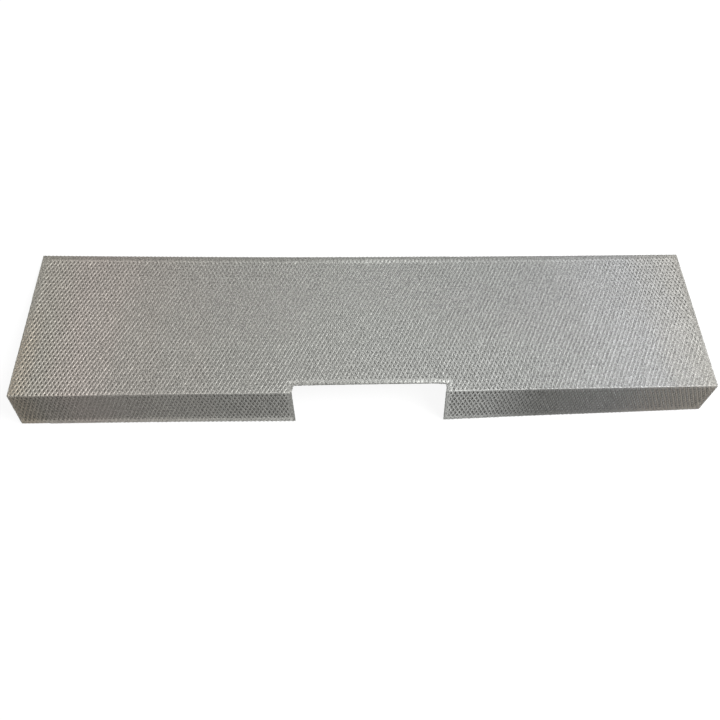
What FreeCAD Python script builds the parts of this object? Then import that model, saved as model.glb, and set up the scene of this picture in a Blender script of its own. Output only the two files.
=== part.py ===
"""Cooker hood grease filter: one sheet of pressed aluminium mesh, hemmed all round, with a folded front lip.

It is drawn with the panel level, then laid on its lip and its rear edge, as it rests on a table.
Millimetres, +X to the right, +Y to the back, +Z up, origin on the table under the middle of the part.
"""
import FreeCAD
import Part
import math
import os
from FreeCAD import Placement, Rotation, Vector

# Panel and lip
panel_width = 560.0
panel_depth = 142.0
lip_height = 38.0
sheet_thickness = 2.0
bend_radius = 0.8
fold_margin = 0.4

# Hem turned in along every free edge, with a rounded outer edge
hem_width = 5.0
hem_thickness = 1.2
hem_edge_flat = 0.4

# Notch through the middle of the lip, cut a little way into the panel
notch_width = 122.0
notch_depth = 7.5
notch_offset = 3.0

# Mesh: a diamond cell, and the section of the strands that stand up from the sheet
cell_width = 3.4
cell_length = 7.1
strand_height = 0.6
strand_recess = 0.1

# Openings between the strands, one in every so many cells
gap_width = 1.6
gap_cells_across = 8
gap_cells_deep = 3

# How far a cutting body reaches past what it cuts
overshoot = 5.0

# Sizes that follow from those above
hem_total = sheet_thickness + hem_thickness
hem_edge_radius = (hem_total - hem_edge_flat) / 2
fold_radius = bend_radius + sheet_thickness
half_width = panel_width / 2
notch_left = notch_offset - notch_width / 2
notch_right = notch_offset + notch_width / 2
mesh_half_width = half_width - hem_width
mesh_front = fold_radius + fold_margin
mesh_rear = panel_depth - hem_width
mesh_low = hem_width - lip_height
panel_middle = (mesh_front + mesh_rear) / 2
lip_middle = (mesh_low - mesh_front) / 2
strand_angle = math.atan2(cell_length, cell_width)
rest_angle = math.atan2(lip_height - hem_total, panel_depth - hem_total)


def box(x_range, y_range, z_range):
    """Box between two limits on each axis."""
    low, high = zip(x_range, y_range, z_range)
    size = [b - a for a, b in zip(low, high)]
    return Part.makeBox(*size, Vector(*low))


def folded_sheet(thickness):
    """Panel, front fold and lip of one thickness, over the whole width."""
    def at(y, z):
        return Vector(-half_width, y, z)

    def fold(depth, radius):
        middle = depth + radius * (1 - math.sqrt(0.5))
        end = depth + radius
        return Part.Arc(at(end, -depth), at(middle, -middle), at(depth, -end)).toShape()

    bend_end = thickness + bend_radius
    lip = [at(0, -fold_radius), at(0, -lip_height), at(thickness, -lip_height), at(thickness, -bend_end)]
    panel = [at(bend_end, -thickness), at(panel_depth, -thickness), at(panel_depth, 0), at(fold_radius, 0)]
    edges = [fold(0, fold_radius), *Part.makePolygon(lip).Edges]
    edges += [fold(thickness, bend_radius), *Part.makePolygon(panel).Edges]
    section = Part.Wire(edges)
    return Part.Face(section).extrude(Vector(panel_width, 0, 0))


def notch_space(margin=0.0):
    """Space of the notch, grown by a margin."""
    return box(
        (notch_left - margin, notch_right + margin),
        (-overshoot, notch_depth + margin),
        (-lip_height - overshoot, overshoot),
    )


def space_between_hems():
    """Space that lies more than a hem's width from every free edge of the sheet."""
    inside = box((-mesh_half_width, mesh_half_width), (-overshoot, mesh_rear), (mesh_low, overshoot))
    return inside.cut(notch_space(hem_width))


def same(a, b):
    """Whether two lengths are equal."""
    return abs(a - b) < 1e-6


def is_rim(face):
    """Whether a face closes the sheet's thickness along its outline."""
    x, y, z = face.CenterOfMass
    across = same(abs(x), half_width) or same(x, notch_left) or same(x, notch_right)
    along = same(y, panel_depth) or same(y, notch_depth) or same(z, -lip_height)
    return across or along


def outline_edges(sheet):
    """Edges where the rim meets the outer and inner faces: those that belong to one rim face only."""
    edges = [edge for face in sheet.Faces if is_rim(face) for edge in face.Edges]
    return [edge for edge in edges if sum(edge.isSame(other) for other in edges) == 1]


def hemmed_sheet():
    """The folded sheet with its notch, double along the free edges, which are rounded."""
    hem = folded_sheet(hem_total).cut(space_between_hems())
    sheet = folded_sheet(sheet_thickness).fuse(hem).cut(notch_space()).removeSplitter()
    return sheet.makeFillet(hem_edge_radius, outline_edges(sheet))


def space_over_strands(reach_across, reach_deep):
    """Space over a field of leaning strands: ridges side by side below a level plane, round its middle."""
    along = Vector(cell_width, cell_length, 0)
    cells_deep = math.ceil(reach_deep / cell_length)
    cells_across = math.ceil(reach_across / cell_width) + cells_deep

    def at(cell, z):
        return Vector(cell * cell_width, 0, z) - along * cells_deep

    section = [at(-cells_across, overshoot)]
    for cell in range(-cells_across, cells_across):
        section.append(at(cell, -strand_recess))
        section.append(at(cell + 0.5, -strand_recess - strand_height))
    section.append(at(cells_across, -strand_recess))
    section.append(at(cells_across, overshoot))
    section.append(section[0])
    return Part.Face(Part.makePolygon(section)).extrude(along * (2 * cells_deep))


def gaps():
    """Diamond openings through the panel, where the hollows between the strands of its two faces cross."""
    wide = Vector(gap_width / 2 / math.sin(strand_angle), 0, 0)
    long = Vector(0, gap_width / 2 / math.cos(strand_angle), 0)
    step_across = gap_cells_across * cell_width
    step_deep = gap_cells_deep * cell_length
    columns = math.floor(mesh_half_width / step_across)
    rows = math.floor((mesh_rear - panel_middle) / step_deep)
    cuts = []
    for column in range(-columns, columns):
        for row in range(-rows, rows):
            middle = Vector((column + 0.5) * step_across, panel_middle + (row + 0.5) * step_deep, -overshoot)
            corners = [middle - wide, middle - long, middle + wide, middle + long]
            diamond = Part.Face(Part.makePolygon(corners + corners[:1]))
            cuts.append(diamond.extrude(Vector(0, 0, 2 * overshoot)))
    return Part.makeCompound(cuts)


def mesh_cuts():
    """Everything that opens the flat sheet into mesh, on both faces of the panel and of the lip."""
    def placed(space, y, z, turn):
        copy = space.copy()
        copy.Placement = Placement(Vector(0, y, z), Rotation(Vector(1, 0, 0), turn))
        return copy

    inside = space_between_hems()
    panel = inside.common(box((-half_width, half_width), (mesh_front, panel_depth), (-overshoot, overshoot)))
    lip = inside.common(box((-half_width, half_width), (-overshoot, overshoot), (-lip_height, -mesh_front)))
    over_panel = space_over_strands(mesh_half_width, mesh_rear - panel_middle)
    over_lip = space_over_strands(mesh_half_width, lip_middle - mesh_low)
    return [
        placed(over_panel, panel_middle, 0, 0).common(panel),
        placed(over_panel, panel_middle, -sheet_thickness, 180).common(panel),
        placed(over_lip, 0, lip_middle, 90).common(lip),
        placed(over_lip, sheet_thickness, lip_middle, -90).common(lip),
        gaps().common(panel),
    ]


def laid_to_rest(part):
    """Turn the part onto its lip and rear edge, and set it over the origin."""
    def turned(y, z):
        across = y * math.cos(rest_angle) + z * math.sin(rest_angle)
        up = z * math.cos(rest_angle) - y * math.sin(rest_angle)
        return across, up

    radius = hem_edge_radius
    front = turned(radius, radius - lip_height)[0]
    rear = turned(panel_depth - radius, -radius)[0]
    floor = turned(hem_total - radius, radius - lip_height)[1]
    part.rotate(Vector(0, 0, 0), Vector(1, 0, 0), -math.degrees(rest_angle))
    part.translate(Vector(0, -(front + rear) / 2, radius - floor))
    return part


filter_mesh = hemmed_sheet()
for cut in mesh_cuts():
    filter_mesh = filter_mesh.cut(cut)
filter_mesh = laid_to_rest(filter_mesh)
os.makedirs("parts", exist_ok=True)
filter_mesh.exportStep("parts/filter_mesh.step")
print("valid", filter_mesh.isValid(), "solids", len(filter_mesh.Solids), "volume", round(filter_mesh.Volume))
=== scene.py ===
"""Looks of the cooker hood grease filter: plies of expanded aluminium foil, hemmed, folded and laid down."""
import math

import bpy
import numpy as np
from mathutils import Matrix, Vector


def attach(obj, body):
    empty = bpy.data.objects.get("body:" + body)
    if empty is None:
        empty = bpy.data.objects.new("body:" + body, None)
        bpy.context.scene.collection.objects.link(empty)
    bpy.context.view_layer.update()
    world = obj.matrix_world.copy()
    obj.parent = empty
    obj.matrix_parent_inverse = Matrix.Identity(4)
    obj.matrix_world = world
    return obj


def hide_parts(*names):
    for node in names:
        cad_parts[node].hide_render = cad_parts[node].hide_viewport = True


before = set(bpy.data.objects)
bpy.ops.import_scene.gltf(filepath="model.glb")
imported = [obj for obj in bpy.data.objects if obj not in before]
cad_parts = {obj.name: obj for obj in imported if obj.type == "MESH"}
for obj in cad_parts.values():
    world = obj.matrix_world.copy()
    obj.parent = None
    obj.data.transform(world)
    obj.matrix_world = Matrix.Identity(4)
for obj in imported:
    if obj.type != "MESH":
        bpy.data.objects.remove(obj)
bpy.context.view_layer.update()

# Sizes of the filter in millimetres, as in the part's source, apart from a sharper fold
panel_width = 560.0
panel_depth = 142.0
lip_height = 38.0
sheet_thickness = 2.0
fold_radius = 1.75
hem_width = 5.0
hem_total = 3.2
notch_left = -58.0
notch_right = 64.0
notch_depth = 7.5
cell_width = 3.4
cell_length = 7.1
strand_height = 0.5

# The rim is a half round, as thick as the hem
rim_radius = hem_total / 2
rim_side = panel_width / 2 - rim_radius
rim_rear = panel_depth - rim_radius - fold_radius
rim_low = lip_height - rim_radius - fold_radius
rim_notch_left = notch_left - rim_radius
rim_notch_right = notch_right + rim_radius
rim_notch_back = notch_depth + rim_radius - fold_radius

# How the filter lies: on the lip's lower edge and the panel's rear edge
rest_angle = math.atan2(lip_height - hem_total, panel_depth - hem_total)
rest_shift = (-64.247, 37.339)

# Net: spare cells round the sheet, and the share of a half turn at which hems would meet in a corner
spare_cells = 14
corner_meet = 0.4

# Hem: a pressed strip beside the rim, then a low ridge where the hem ends
# The places of strips and ridges are distances in from the start of the rim
strip_press = 0.12
strip_ramp = 1.2
edge_strip = 3.0
notch_strip = 1.2
ridge_rise = 0.16
ridge_width = 0.9
edge_ridge = 5.3
notch_left_ridge = 4.0
notch_right_ridge = 1.6
notch_back_ridge = [(notch_left, 2.2), (notch_right, 0.8)]
rim_swell = 1.15
corner_blend = 6

# Where the openings are pressed shut in the hem, and how far they close there and along the fold
shut_rear = 4.8
shut_low = 4.5
shut_notch = 2.8
shut_side = 4.0
side_shut_share = 0.5
hem_close = 0.6
fold_close = 0.85
fold_lift = 0.12

# Plies inside the hem end in a crushed edge, which starts a little before the rim
crush_start = -0.6
crush_width = 2.15
crush_reach = 5.5

# Score lines: shares of a rim's half turn, and how far a line beside the notch may run
rim_bends = (0.2, 0.5, 0.8)
long_rim_bends = (0.25, 0.75)
corner_outside = 2
corner_inside = 14
beside_notch = 20
past_notch_ends = 4

# Tables from here on are pairs of place and value
# The place runs across the sheet, from -280 at the left end to 280 at the right, unless the name says depth

# Strands: how high they stand, how far they lean, and how unevenly they lie
relief = [(-280, 0.9), (-240, 0.95), (-170, 0.68), (0, 0.66), (120, 0.58)]
lean_share = [(-280, 1.4), (-230, 1.25), (-170, 0.55), (-90, 0.35), (0, 0.4)]
lip_lean_share = 0.8
slack_share = [(-280, 0.35), (-220, 0.45), (-150, 0.6), (40, 0.7), (140, 1.0)]
slack_size = (0.07, 0.12, 0.06)

# The second ply slips to its place over this stretch, and each net is drawn in slow waves
# A wave is its height, its lengths across and along, and how much it is staggered from ply to ply
slip_start = -245
slip_stretch = 60
waves_across = [(0.35, 61, 47, 3), (0.18, 17, -23, 0)]
waves_along = [(0.5, 83, -39, 3), (0.25, 29, 13, 0)]

# Out of true from handling
fold_askew = [(-280, -0.9), (-150, 0), (-58, 0), (0, 0.7), (55, 1.0), (66, 0.35), (130, 1.35), (280, 2.9)]
rear_hollow = 1.3
rear_left_out = [(-280, 1.2), (-80, 0)]
lip_lean_out = [(-280, -4.1), (-58, -4.7), (64, -4.7), (280, -0.1)]
notch_lip_lean = [(-120, 0), (-50, 1.6), (-49, 0)]
right_end_lean = [(200, 0), (280, 1.8)]
near_notch_left = [(-90, 0), (-58, 1), (-26, 0)]
near_notch_right = [(32, 0), (64, 1), (96, 0)]
left_corner_depth = [(0, -0.5), (7.5, 0.9), (30, 0)]
right_corner_depth = [(0, 1.7), (7.5, 0)]

# Painted highlights on the fold, the hem ridges, the lip's lower edge and the lip near the notch: the fold
# has a painted highlight on the left and painted shade on the right
fold_line = 0.2
fold_line_width = 0.6
fold_highlight_and_shade = [(60, 0.6), (140, -0.7)]
rear_ridge_highlight = [(-280, 1.3), (0, 1.6), (100, 1.4), (280, 0.9)]
low_edge_highlight = [(-280, 0.9), (-60, 0.7), (0, 0.1)]
low_edge_highlight_start = 6.0
side_ridge_highlight = [(-280, 0.35), (280, 0.1)]
notch_back_highlight = 1.15
notch_side_highlight = 0.75
notch_lip_highlight = 0.2
lip_highlight = [(-60, 0), (64, 0.4), (90, 0.3), (130, 0)]

# Painted shade: on the lip, which faces away from the light, and along the rims from where a strip starts,
# where the rolled edge turns away; the lip is also darker toward its ends
lip_start = 1.5
lip_shade = [(-280, 0.75), (-180, 0.45), (-60, 0.05), (64, 0), (100, 0.15), (140, 1), (200, 1), (280, 0.7)]
rear_rim_shade = [(-280, 0.45), (-100, 0.55), (100, 0.5), (280, 0.5)]
rear_rim_shade_start = 4.6
side_rim_shade = [(-280, 0.15), (280, 0.4)]
side_rim_shade_start = 4.0
notch_rim_shade = [(-58, 0.55), (0, 0.4), (64, 0.2)]
notch_rim_shade_start = 0.7
lip_end_dark = [(0, 0), (280, 1)]
lip_end_dark_start = 3.0

# Stained brown: at both ends of the lip, and at the panel's left end
lip_stain = [(-280, 1), (-268, 0.8), (-256, 0), (200, 0), (235, 0.9), (280, 0.7)]
panel_stain = [(-280, 0.8), (-270, 0.5), (-262, 0)]
panel_stain_depth = [(0, 0), (1, 1), (50, 1), (90, 0)]

# Painted shade in the depth of the sheet, where the plies shade one another, less so in the hems and deeper
# on the lip
depth_dark = [(-280, 0.86), (-240, 0.88), (-160, 0.74), (0, 0.7), (100, 0.67)]
lip_dark_share = [(-150, 1.03), (-90, 1.35), (60, 1.3), (120, 1.3), (170, 1.22)]
hem_dark_loss = 0.5

# Tolerances: level with the middle of a ply, clear of a cell's edges, on the fold, and wholly an opening
level_limit = 1e-4
cell_limit = 0.49
fold_limit = 0.02
opening_limit = 0.99


def by_place(place, table):
    """The value at each place, from a table of places and values."""
    places, values = zip(*table)
    return np.interp(place, places, values)


def deselect_all():
    """Leave object mode's selection empty."""
    if bpy.context.object and bpy.context.object.mode != "OBJECT":
        bpy.ops.object.mode_set(mode="OBJECT")
    bpy.ops.object.select_all(action="DESELECT")


def work_on(piece, mode):
    """Make a piece the only selected one, in edit mode or object mode."""
    deselect_all()
    bpy.context.view_layer.objects.active = piece
    piece.select_set(True)
    bpy.ops.object.mode_set(mode=mode)


def points_of(piece):
    """The piece's points as an array."""
    flat = np.empty(len(piece.data.vertices) * 3, np.float32)
    piece.data.vertices.foreach_get("co", flat)
    return flat.reshape(-1, 3).astype(float)


def move_points(piece, points):
    """Put the piece's points in new places."""
    piece.data.vertices.foreach_set("co", points.astype(np.float32).ravel())
    piece.data.update()


def keep_values(piece, name, values):
    """Store one number for each point."""
    layer = piece.data.attributes.new(name, "FLOAT", "POINT")
    layer.data.foreach_set("value", values.astype(np.float32))


def kept_values(piece, name):
    """The numbers stored for the points."""
    values = np.empty(len(piece.data.vertices), np.float32)
    piece.data.attributes[name].data.foreach_get("value", values)
    return values.astype(float)


def choose_faces(piece, chosen):
    """Select faces of a piece by a list of yes and no, and go to edit mode."""
    work_on(piece, "EDIT")
    bpy.ops.mesh.select_mode(type="FACE")
    bpy.ops.mesh.select_all(action="DESELECT")
    bpy.ops.object.mode_set(mode="OBJECT")
    piece.data.polygons.foreach_set("select", chosen)
    bpy.ops.object.mode_set(mode="EDIT")


class Ply:
    """One ply of foil: how deep it lies in the sheet, how wide its strands are, and how its net is set."""

    def __init__(
        self, name, depth, strand_width, seed,
        lean=0.0, shift=(0, 0), slip=(0, 0), turn=0.0, rolls=False,
    ):
        self.name = name
        self.depth = depth
        self.strand_width = strand_width
        self.lean = lean
        self.seed = seed
        self.shift = shift
        self.slip = slip
        self.turn = turn
        self.rolls = rolls
        self.bend = (fold_radius - depth) * math.pi / 4
        self.roll_radius = rim_radius - depth
        self.half_turn = self.roll_radius * math.pi
        self.reach = self.half_turn + hem_width if rolls else crush_reach

    def past_rims(self, u, v):
        """How far points of the flat net lie past the start of the rim at the sides, rear, lip and notch."""
        side = np.abs(u) - rim_side
        rear = v - self.bend - rim_rear
        low = -v - self.bend - rim_low
        notch_l = u - rim_notch_left
        notch_r = rim_notch_right - u
        notch_b = rim_notch_back + self.bend - v
        return side, rear, low, notch_l, notch_r, notch_b


def least(*distances):
    """The least of several distances at each point."""
    return np.minimum.reduce(distances)


def most(*distances):
    """The greatest of several distances or shares at each point."""
    return np.maximum.reduce(distances)


def flat_net(ply):
    """A level net of diamond faces, centred on the fold, larger than the sheet."""
    deselect_all()
    cells = 2 * math.ceil(panel_width / cell_width / 2 + panel_depth / cell_length + spare_cells)
    bpy.ops.mesh.primitive_grid_add(
        x_subdivisions=cells, y_subdivisions=cells, size=cells, rotation=(0, 0, math.pi / 4),
    )
    net = bpy.context.object
    net.name = ply.name
    bpy.ops.object.transform_apply(location=True, rotation=True, scale=True)
    work_on(net, "EDIT")
    bpy.ops.mesh.select_all(action="SELECT")
    bpy.ops.transform.resize(value=(cell_width / math.sqrt(2), cell_length / math.sqrt(2), 1))
    bpy.ops.object.mode_set(mode="OBJECT")
    return net


def drawn(x, y, depth, waves):
    """How far slow waves draw the net out of place."""
    return sum(
        height * np.sin(x / length_x + y / length_y + depth * stagger)
        for height, length_x, length_y, stagger in waves
    )


def spread(ply, points):
    """Set the net on the sheet: turned, shifted, slipped from near the left end on, and drawn unevenly."""
    out = points.copy()
    turn = math.radians(ply.turn)
    x, y = points[:, 0], points[:, 1]
    slipped = np.clip((x - slip_start) / slip_stretch, 0, 1)
    out[:, 0] = x * math.cos(turn) - y * math.sin(turn) + ply.shift[0] + ply.slip[0] * slipped
    out[:, 1] = x * math.sin(turn) + y * math.cos(turn) + ply.shift[1] + ply.slip[1] * slipped
    out[:, 0] += drawn(x, y, ply.depth, waves_across)
    out[:, 1] += drawn(x, y, ply.depth, waves_along)
    return out


def cut_to_outline(net, ply):
    """Take away the cells outside the sheet and its hem, and those in the way where two hems meet."""
    mesh = net.data
    points = spread(ply, points_of(net))
    corners = np.empty(len(mesh.polygons) * 4, int)
    mesh.polygons.foreach_get("vertices", corners)
    u = points[corners, 0].reshape(-1, 4)
    v = points[corners, 1].reshape(-1, 4)
    side, rear, low, notch_l, notch_r, notch_b = ply.past_rims(u, v)
    notch = least(notch_l, notch_r, notch_b)
    outside = most(side, rear, low, notch).max(axis=1) > ply.reach
    middle = np.sort(np.stack([d.mean(axis=1) for d in (side, rear, low, notch)]), axis=0)
    first, second = middle[3], middle[2]
    in_corner = second > corner_meet * ply.half_turn
    under_corner = (first > ply.half_turn) & (second > ply.half_turn - first)
    clash = (in_corner | under_corner) & ply.rolls
    choose_faces(net, outside | clash)
    bpy.ops.mesh.delete(type="FACE")
    bpy.ops.object.mode_set(mode="OBJECT")


def open_strands(net, ply):
    """Turn the diamonds into strands: each is inset to its opening, and the lower side mirrors the upper."""
    work_on(net, "EDIT")
    bpy.ops.mesh.select_mode(type="FACE")
    bpy.ops.mesh.select_all(action="SELECT")
    bpy.ops.transform.translate(value=(0, 0, strand_height / 2))
    bpy.ops.mesh.inset(thickness=ply.strand_width / 2, depth=-strand_height / 2, use_individual=True)
    bpy.ops.mesh.delete(type="FACE")
    bpy.ops.object.mode_set(mode="OBJECT")

    # The outer ends of the net come down to the mirror's plane, so that the two sides close there
    mesh = net.data
    used = np.empty(len(mesh.loops), int)
    mesh.loops.foreach_get("edge_index", used)
    ends = np.empty(len(mesh.edges) * 2, int)
    mesh.edges.foreach_get("vertices", ends)
    free = ends.reshape(-1, 2)[np.bincount(used, minlength=len(mesh.edges)) == 1]
    points = points_of(net)
    points[free.ravel(), 2] = 0
    move_points(net, points)

    lower = net.modifiers.new("lower_side", "MIRROR")
    lower.use_axis = (False, False, True)
    lower.use_mirror_merge = True
    lower.merge_threshold = 0.001
    bpy.ops.object.modifier_apply(modifier=lower.name)
    work_on(net, "EDIT")
    bpy.ops.mesh.select_all(action="SELECT")
    bpy.ops.mesh.normals_make_consistent(inside=False)
    bpy.ops.object.mode_set(mode="OBJECT")


def lean_strands(net, ply):
    """Lean the strands that run one way: two corners of each opening are lifted and two lowered."""
    points = points_of(net)
    x = points[:, 0].copy()
    on_lip = points[:, 1] < 0
    across = x / cell_width
    along = points[:, 1] / cell_length
    right = along + across
    left = along - across
    in_cell = (np.abs(np.mod(right, 1) - 0.5) < cell_limit) & (np.abs(np.mod(left, 1) - 0.5) < cell_limit)
    opening = (np.abs(points[:, 2]) < level_limit) & in_cell
    points[:, 2] *= by_place(x, relief)
    lean = ply.lean * by_place(x, lean_share) * np.where(on_lip, lip_lean_share, 1)
    points[:, 2] += np.where(opening, lean * np.sign(0.5 - np.mod(left, 1)), 0)
    uneven = np.random.default_rng(ply.seed)
    slack = by_place(x, slack_share)
    points += uneven.normal(size=points.shape) * slack[:, None] * np.array(slack_size)
    move_points(net, spread(ply, points))
    keep_values(net, "right", right)
    keep_values(net, "left", left)
    keep_values(net, "opening", opening)


def crease(net, place, direction, x_range=None):
    """Score a straight line across the strands, within a range if one is given, so that they bend there."""
    if x_range:
        middles = np.empty(len(net.data.polygons) * 3)
        net.data.polygons.foreach_get("center", middles)
        x = middles.reshape(-1, 3)[:, 0]
        choose_faces(net, (x > x_range[0]) & (x < x_range[1]))
    else:
        work_on(net, "EDIT")
        bpy.ops.mesh.select_all(action="SELECT")
    bpy.ops.mesh.bisect(plane_co=place, plane_no=direction)
    bpy.ops.object.mode_set(mode="OBJECT")


def score_bends(net, ply):
    """The lines where a ply bends: at the fold, in the notch's corners, and round the rims it rolls over."""
    for v in (ply.bend, 0, -ply.bend):
        crease(net, (0, v, 0), (0, 1, 0))
    back = rim_notch_back + ply.bend
    left_corner = (rim_notch_left - corner_outside, rim_notch_left + corner_inside)
    right_corner = (rim_notch_right - corner_inside, rim_notch_right + corner_outside)
    crease(net, (rim_notch_left, back, 0), (1, 1, 0), left_corner)
    crease(net, (rim_notch_right, back, 0), (1, -1, 0), right_corner)
    if not ply.rolls:
        return
    by_left = (notch_left - beside_notch, notch_left + beside_notch)
    by_right = (notch_right - beside_notch, notch_right + beside_notch)
    by_back = (notch_left - past_notch_ends, notch_right + past_notch_ends)
    for share in rim_bends:
        turned = share * ply.half_turn
        for side in (-1, 1):
            crease(net, (side * (rim_side + turned), 0, 0), (1, 0, 0))
        crease(net, (rim_notch_left + turned, 0, 0), (1, 0, 0), by_left)
        crease(net, (rim_notch_right - turned, 0, 0), (1, 0, 0), by_right)
        crease(net, (0, back - turned, 0), (0, 1, 0), by_back)
    for share in long_rim_bends:
        turned = share * ply.half_turn
        crease(net, (0, ply.bend + rim_rear + turned, 0), (0, 1, 0))
        crease(net, (0, -ply.bend - rim_low - turned, 0), (0, 1, 0))


def ridge(past, place):
    """Share of the hem's ridge at a distance past the rim's start."""
    return np.exp(-(((past + place) / ridge_width) ** 2))


def past_notch_ridge(u, notch_l, notch_r, notch_b):
    """How far points lie past the ridge round the notch, which runs further from the edge on the left."""
    back = notch_b + by_place(u, notch_back_ridge)
    return least(notch_l + notch_left_ridge, notch_r + notch_right_ridge, back)


def strip(past, start):
    """Share of the pressed strip beside the rim, from where it starts."""
    return np.clip((past + start) / strip_ramp, 0, 1)


def hem_share(ply, points):
    """How far the mesh is pressed shut in the hem at each point of the flat net, least at the sides."""
    side, rear, low, notch_l, notch_r, notch_b = ply.past_rims(points[:, 0], points[:, 1])
    notch = least(notch_l, notch_r, notch_b)
    at_side = side_shut_share * strip(side, shut_side)
    return most(strip(rear, shut_rear), strip(low, shut_low), strip(notch, shut_notch), at_side)


def press_strands(net, ply):
    """Close the openings along the fold and in the hem, where the sheet is pressed."""
    points = points_of(net)
    right = kept_values(net, "right")
    left = kept_values(net, "left")
    opening = kept_values(net, "opening") > opening_limit
    on_fold = opening & (np.abs(points[:, 1]) < fold_limit)
    in_hem = np.where(opening, hem_close * hem_share(ply, points), 0)
    to_middle_x = (np.floor(right) - np.floor(left) - right + left) / 2 * cell_width
    to_middle_y = (np.floor(right) + np.floor(left) + 1 - right - left) / 2 * cell_length
    points[:, 0] += np.where(on_fold, fold_close, in_hem) * to_middle_x
    points[:, 1] += np.where(on_fold, 0, in_hem) * to_middle_y
    points[:, 2] += np.where(on_fold, fold_lift, 0)
    move_points(net, points)
    for name in ("right", "left", "opening"):
        net.data.attributes.remove(net.data.attributes[name])


def hem_depth(edge, notch, notch_line):
    """How much deeper the outer ply lies in the pressed strip beside the rim, and higher on the ridge."""
    pressed = most(strip(edge, edge_strip), strip(notch, notch_strip))
    raised = most(ridge(edge, edge_ridge), ridge(notch_line, 0))
    return strip_press * pressed - ridge_rise * raised


def crushed(past):
    """Where points past the rim's start come to lie in a crushed edge."""
    beyond = np.maximum(past - crush_start, 0)
    return np.minimum(past, crush_start) + crush_width * (1 - np.exp(-beyond / crush_width))


def turn_edges(ply, points):
    """Roll the outer ply round the rims and back under the sheet, and crush the others there."""
    u, v = points[:, 0].copy(), points[:, 1].copy()
    depth = ply.depth - points[:, 2]
    side, rear, low, notch_l, notch_r, notch_b = ply.past_rims(u, v)
    notch = least(notch_l, notch_r, notch_b)
    past = most(side, rear, low, notch)
    if ply.rolls:
        notch_line = past_notch_ridge(u, notch_l, notch_r, notch_b)
        depth = depth + hem_depth(most(side, rear, low), notch, notch_line)
        radius = rim_radius - depth
        angle = np.clip(past / ply.roll_radius, 0, math.pi)
        out = rim_swell * radius * np.sin(angle) - np.maximum(past - ply.half_turn, 0)
        turned = past > 0
        depth = np.where(turned, rim_radius - radius * np.cos(angle), depth)

    def moved(distance):
        if not ply.rolls:
            return crushed(distance) - distance
        share = np.clip(distance / np.maximum(past, 1e-6), 0, 1)
        return np.where(turned & (distance > 0), out * share - distance, 0)

    # Toward an inner corner of the notch the edges meet on the diagonal, so there a point moves both ways
    notch_move = moved(notch)
    notch_side = least(notch_l, notch_r)
    near_corner = np.clip(1 - np.abs(notch_side - notch_b) / corner_blend, 0, 1)
    side_share = np.where(notch_side <= notch_b, 1, near_corner)
    back_share = np.where(notch_b <= notch_side, 1, near_corner)
    toward_left = np.where(notch_l < notch_r, 1, -1)
    u_move = np.sign(u) * moved(side) + toward_left * side_share * notch_move
    v_move = moved(rear) - moved(low) - back_share * notch_move
    return u + u_move, v + v_move, depth


def fold_lip(ply, u, v, depth):
    """Fold the sheet over its front edge: the panel lies level, the lip hangs down."""
    angle = np.clip((ply.bend - v) / (fold_radius - ply.depth), 0, math.pi / 2)
    radius = fold_radius - depth
    y = fold_radius - radius * np.sin(angle) + np.maximum(v - ply.bend, 0)
    z = -fold_radius + radius * np.cos(angle) - np.maximum(-ply.bend - v, 0)
    return np.stack([u, y, z], axis=1)


def lay_down(points):
    """Lay the folded sheet on its lip and rear edge, a little out of true from handling, in metres."""
    x, y, z = points.T
    back = np.clip(y / panel_depth, 0, 1)
    drop = np.clip((-fold_radius - z) / (lip_height - fold_radius), 0, 1)

    # The fold runs askew, further back to the right, and the rear edge is hollow
    askew = by_place(x, fold_askew)
    hollow = rear_hollow * (1 - (x / (panel_width / 2)) ** 2) - by_place(x, rear_left_out)
    c, s = math.cos(rest_angle), math.sin(rest_angle)
    along = (y + askew * (1 - back) - hollow * back) * c + z * s + rest_shift[0]
    up = z * c - y * s + rest_shift[1]

    # The lip leans out, least at its right end, and its ends are not square
    along += drop * by_place(x, lip_lean_out)
    across = x + drop * (by_place(x, notch_lip_lean) - by_place(x, right_end_lean))

    # The notch's front corners are both pushed to the left, and its left back corner to the right
    across += by_place(x, near_notch_left) * by_place(y, left_corner_depth)
    across -= by_place(x, near_notch_right) * by_place(y, right_corner_depth) * (1 - drop)
    return np.stack([across, along, up], axis=1) * 0.001


def edge_tones(ply, points):
    """How much painted highlight, painted shade and brown stain each point has. Only the outer ply has them.
    """
    u, v = points[:, 0], points[:, 1]
    if not ply.rolls:
        return 0 * u, 0 * u, 0 * u
    side, rear, low, notch_l, notch_r, notch_b = ply.past_rims(u, v)
    notch = least(notch_l, notch_r, notch_b)
    on_lip = np.clip(-v / lip_start, 0, 1)
    fold = np.exp(-(((v - fold_line) / fold_line_width) ** 2)) * by_place(u, fold_highlight_and_shade)

    notch_highlight = np.where(notch_b <= least(notch_l, notch_r), notch_back_highlight, notch_side_highlight)
    notch_line = past_notch_ridge(u, notch_l, notch_r, notch_b)
    painted_highlight = most(
        fold,
        ridge(rear, edge_ridge) * by_place(u, rear_ridge_highlight),
        ridge(side, edge_ridge) * by_place(u, side_ridge_highlight),
        ridge(notch_line, 0) * np.where(v > 0, notch_highlight, notch_lip_highlight),
        strip(low, low_edge_highlight_start) * by_place(u, low_edge_highlight),
        on_lip * by_place(u, lip_highlight),
    )
    painted_shade = most(
        -fold,
        on_lip * by_place(u, lip_shade),
        by_place(u, rear_rim_shade) * strip(rear, rear_rim_shade_start),
        by_place(u, side_rim_shade) * strip(side, side_rim_shade_start),
        by_place(u, notch_rim_shade) * strip(notch, notch_rim_shade_start),
        on_lip * strip(side, lip_end_dark_start) * by_place(u, lip_end_dark),
    )
    stained = most(
        on_lip * by_place(u, lip_stain),
        by_place(u, panel_stain) * by_place(v, panel_stain_depth),
    )
    return painted_highlight, painted_shade, stained


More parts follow.
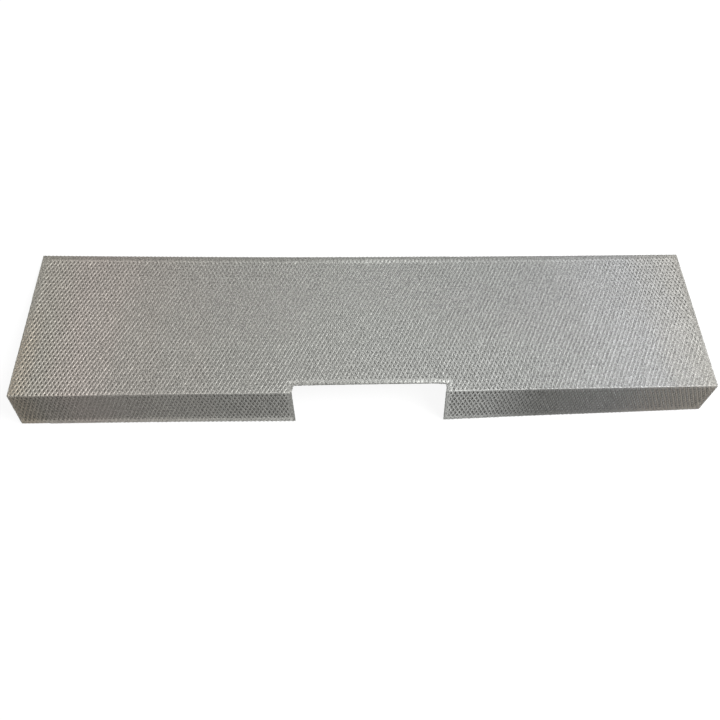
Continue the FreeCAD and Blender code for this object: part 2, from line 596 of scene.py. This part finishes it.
def depth_shade_of(ply, points, depth):
    """Painted shade at each point from its depth in the sheet, where the plies shade one another."""
    painted_depth_shade = np.clip(1 - np.abs(depth / sheet_thickness * 2 - 1), 0, 1)
    dark = by_place(points[:, 0], depth_dark)
    dark *= np.where(points[:, 1] < 0, by_place(points[:, 0], lip_dark_share), 1)
    return painted_depth_shade * dark * (1 - hem_dark_loss * hem_share(ply, points))


def make_ply(ply):
    """One ply from the flat net to its folded place."""
    net = flat_net(ply)
    cut_to_outline(net, ply)
    open_strands(net, ply)
    lean_strands(net, ply)
    score_bends(net, ply)
    press_strands(net, ply)
    points = points_of(net)
    u, v, depth = turn_edges(ply, points)
    move_points(net, lay_down(fold_lip(ply, u, v, depth)))
    painted_highlight, painted_shade, stained = edge_tones(ply, points)
    keep_values(net, "painted_highlight", painted_highlight)
    keep_values(net, "painted_shade", painted_shade)
    keep_values(net, "stained", stained)
    keep_values(net, "painted_depth_shade", depth_shade_of(ply, points, depth))
    return net


outer_ply = Ply("outer_ply", depth=0.55, strand_width=1.2, seed=3, lean=0.1, shift=(0, 0.9), rolls=True)
second_ply = Ply(
    "second_ply", depth=0.88, strand_width=1.5, seed=5, shift=(0.24, 1.5), slip=(0.54, 1.12), turn=0.03,
)
third_ply = Ply("third_ply", depth=1.2, strand_width=2.6, seed=7, shift=(0.1, 4.4), turn=0.05)
inner_ply = Ply("inner_ply", depth=1.48, strand_width=1.3, seed=8, lean=0.1, shift=(0.6, 1.6), turn=-0.2)
plies = [make_ply(ply) for ply in (outer_ply, second_ply, third_ply, inner_ply)]
for piece in plies:
    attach(piece, "root")
    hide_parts("filter_mesh")


def shader(name):
    """A new material, with its nodes and their links."""
    material = bpy.data.materials.new(name)
    material.use_nodes = True
    return material, material.node_tree.nodes, material.node_tree.links


def add(nodes, kind, **settings):
    """A new node with its settings."""
    node = nodes.new(kind)
    for name, value in settings.items():
        setattr(node, name, value)
    return node


def ramp(nodes, stops):
    """A colour ramp from pairs of place and colour."""
    node = nodes.new("ShaderNodeValToRGB")
    while len(node.color_ramp.elements) < len(stops):
        node.color_ramp.elements.new(0.5)
    for element, (place, colour) in zip(node.color_ramp.elements, stops):
        element.position = place
        element.color = (*colour, 1)
    return node


def times(nodes, links, first, second):
    """Two colours multiplied."""
    product = add(nodes, "ShaderNodeMix", data_type="RGBA", blend_type="MULTIPLY")
    product.inputs["Factor"].default_value = 1
    links.new(first, product.inputs["A"])
    links.new(second, product.inputs["B"])
    return product.outputs["Result"]


def toned(nodes, links, colour, name, stops):
    """A colour multiplied by a ramp of the numbers kept for the points under a name."""
    kept = add(nodes, "ShaderNodeAttribute", attribute_name=name)
    tone = ramp(nodes, stops)
    links.new(kept.outputs["Fac"], tone.inputs["Fac"])
    return times(nodes, links, colour, tone.outputs["Color"])


def foil_finish():
    """Dull expanded aluminium: warm with grease on the left, cleaner and brighter on the right, the
    brightening partly painted light; painted shade in its depth and along its edges, painted highlights on
    its fold and ridges.
    """
    material, nodes, links = shader("aluminium_foil")
    metal = nodes["Principled BSDF"]
    metal.inputs["Metallic"].default_value = 0.4
    place = nodes.new("ShaderNodeTexCoord")
    split = nodes.new("ShaderNodeSeparateXYZ")
    links.new(place.outputs["Object"], split.inputs[0])

    # Streaks of grease run from front to back, so their place across the sheet wavers
    along = nodes.new("ShaderNodeMapping")
    along.inputs["Scale"].default_value = (60, 9, 9)
    links.new(place.outputs["Object"], along.inputs["Vector"])
    streak = nodes.new("ShaderNodeTexNoise")
    streak.inputs["Scale"].default_value = 1
    streak.inputs["Detail"].default_value = 3
    links.new(along.outputs["Vector"], streak.inputs["Vector"])
    waver = add(nodes, "ShaderNodeMath", operation="MULTIPLY_ADD")
    waver.inputs[1].default_value = 0.05
    links.new(streak.outputs["Fac"], waver.inputs[0])
    links.new(split.outputs["X"], waver.inputs[2])
    across = nodes.new("ShaderNodeMapRange")
    across.inputs["From Min"].default_value = -0.255
    across.inputs["From Max"].default_value = 0.305
    links.new(waver.outputs[0], across.inputs["Value"])
    # The tone grows brighter to the right, which is painted light from the lamp's side; the warmth on the
    # left is grease
    tone = ramp(nodes, [
        (0.0, (0.345, 0.33, 0.29)),
        (0.03, (0.36, 0.34, 0.30)),
        (0.09, (0.38, 0.345, 0.315)),
        (0.17, (0.365, 0.345, 0.315)),
        (0.3, (0.355, 0.35, 0.325)),
        (0.5, (0.377, 0.382, 0.362)),
        (0.75, (0.37, 0.375, 0.365)),
        (0.9, (0.425, 0.43, 0.43)),
        (1.0, (0.455, 0.445, 0.415)),
    ])
    links.new(across.outputs["Result"], tone.inputs["Fac"])

    # Fine grain of the foil, which also varies its shine; its strong speckle in the colour is partly a
    # painted sparkle of glints off the strands
    grain = nodes.new("ShaderNodeTexNoise")
    grain.inputs["Scale"].default_value = 1700
    grain.inputs["Detail"].default_value = 0
    links.new(place.outputs["Object"], grain.inputs["Vector"])
    grain_and_sparkle_tone = ramp(nodes, [(0.35, (0.47, 0.47, 0.47)), (0.65, (1.53, 1.53, 1.53))])
    links.new(grain.outputs["Fac"], grain_and_sparkle_tone.inputs["Fac"])
    rough = nodes.new("ShaderNodeMapRange")
    rough.inputs["To Min"].default_value = 0.36
    rough.inputs["To Max"].default_value = 0.56
    links.new(grain.outputs["Fac"], rough.inputs["Value"])
    links.new(rough.outputs["Result"], metal.inputs["Roughness"])

    plain = (1, 1, 1)
    colour = times(nodes, links, tone.outputs["Color"], grain_and_sparkle_tone.outputs["Color"])
    # Painted shade in the depth of the sheet, darkest at mid-depth
    colour = toned(nodes, links, colour, "painted_depth_shade", [(0.5, plain), (0.9, (0.35, 0.34, 0.32))])
    # Painted highlights on the fold, the hem ridges and the lip
    colour = toned(nodes, links, colour, "painted_highlight", [(0, plain), (1, (1.75, 1.75, 1.75))])
    # Painted shade on the lip, along the rims and on the fold's right part
    colour = toned(nodes, links, colour, "painted_shade", [(0, plain), (1, (0.42, 0.41, 0.395))])
    colour = toned(nodes, links, colour, "stained", [(0, plain), (1, (1.1, 1.0, 0.89))])
    links.new(colour, metal.inputs["Base Color"])
    return material


aluminium = foil_finish()
for piece in plies:
    piece.data.materials.append(aluminium)


def white_to_eye(nodes, links, dim, bright):
    """A level that is bright for what the eye and mirrors see, and dim for the light that it sheds."""
    path = nodes.new("ShaderNodeLightPath")
    seen = path.outputs["Is Camera Ray"]
    for kind in ("Is Glossy Ray", "Is Transmission Ray"):
        either = add(nodes, "ShaderNodeMath", operation="MAXIMUM")
        links.new(seen, either.inputs[0])
        links.new(path.outputs[kind], either.inputs[1])
        seen = either.outputs[0]
    level = nodes.new("ShaderNodeMapRange")
    level.inputs["To Min"].default_value = dim
    level.inputs["To Max"].default_value = bright
    links.new(seen, level.inputs["Value"])
    return level.outputs["Result"]


def table_top():
    """The white table, which keeps the filter's shadow."""
    deselect_all()
    bpy.ops.mesh.primitive_plane_add(size=8)
    top = bpy.context.object
    top.name = "table_top"
    material, nodes, links = shader("white_table")
    surface = nodes["Principled BSDF"]
    surface.inputs["Base Color"].default_value = (0.18, 0.18, 0.18, 1)
    surface.inputs["Roughness"].default_value = 0.9
    surface.inputs["Emission Color"].default_value = (1, 1, 1, 1)
    glow = white_to_eye(nodes, links, dim=0.0, bright=0.9)
    links.new(glow, surface.inputs["Emission Strength"])
    top.data.materials.append(material)


def lamp(name, place, aim, size, power):
    """A square soft lamp."""
    data = bpy.data.lights.new(name, "AREA")
    data.shape = "SQUARE"
    data.size = size
    data.energy = power
    body = bpy.data.objects.new(name, data)
    bpy.context.scene.collection.objects.link(body)
    body.location = place
    body.rotation_euler = (Vector(aim) - Vector(place)).to_track_quat("-Z", "Y").to_euler()


def room():
    """A room that is white to the eye and sheds a dim even light."""
    world = bpy.data.worlds.new("room")
    world.use_nodes = True
    bpy.context.scene.world = world
    nodes, links = world.node_tree.nodes, world.node_tree.links
    sky = nodes["Background"]
    sky.inputs["Color"].default_value = (1, 1, 1, 1)
    links.new(white_to_eye(nodes, links, dim=0.25, bright=1.0), sky.inputs["Strength"])


table_top()
lamp("ceiling_lamp", place=(0.85, 0.05, 1.15), aim=(0, 0, 0), size=0.9, power=19)
room()

# The camera looks down on the filter from in front
# The columns of its matrix are its right, its up, its back and its place
lens = bpy.data.cameras.new("camera")
lens.sensor_width = 36
lens.lens = 39.21
camera = bpy.data.objects.new("camera", lens)
bpy.context.scene.collection.objects.link(camera)
camera.matrix_world = Matrix((
    (0.99974, 0.00694, -0.02172, -0.01807),
    (-0.01369, 0.94451, -0.32820, -0.24166),
    (0.01824, 0.32840, 0.94436, 0.62588),
    (0, 0, 0, 1),
))
bpy.context.scene.camera = camera
bpy.context.scene.view_settings.view_transform = "Standard"
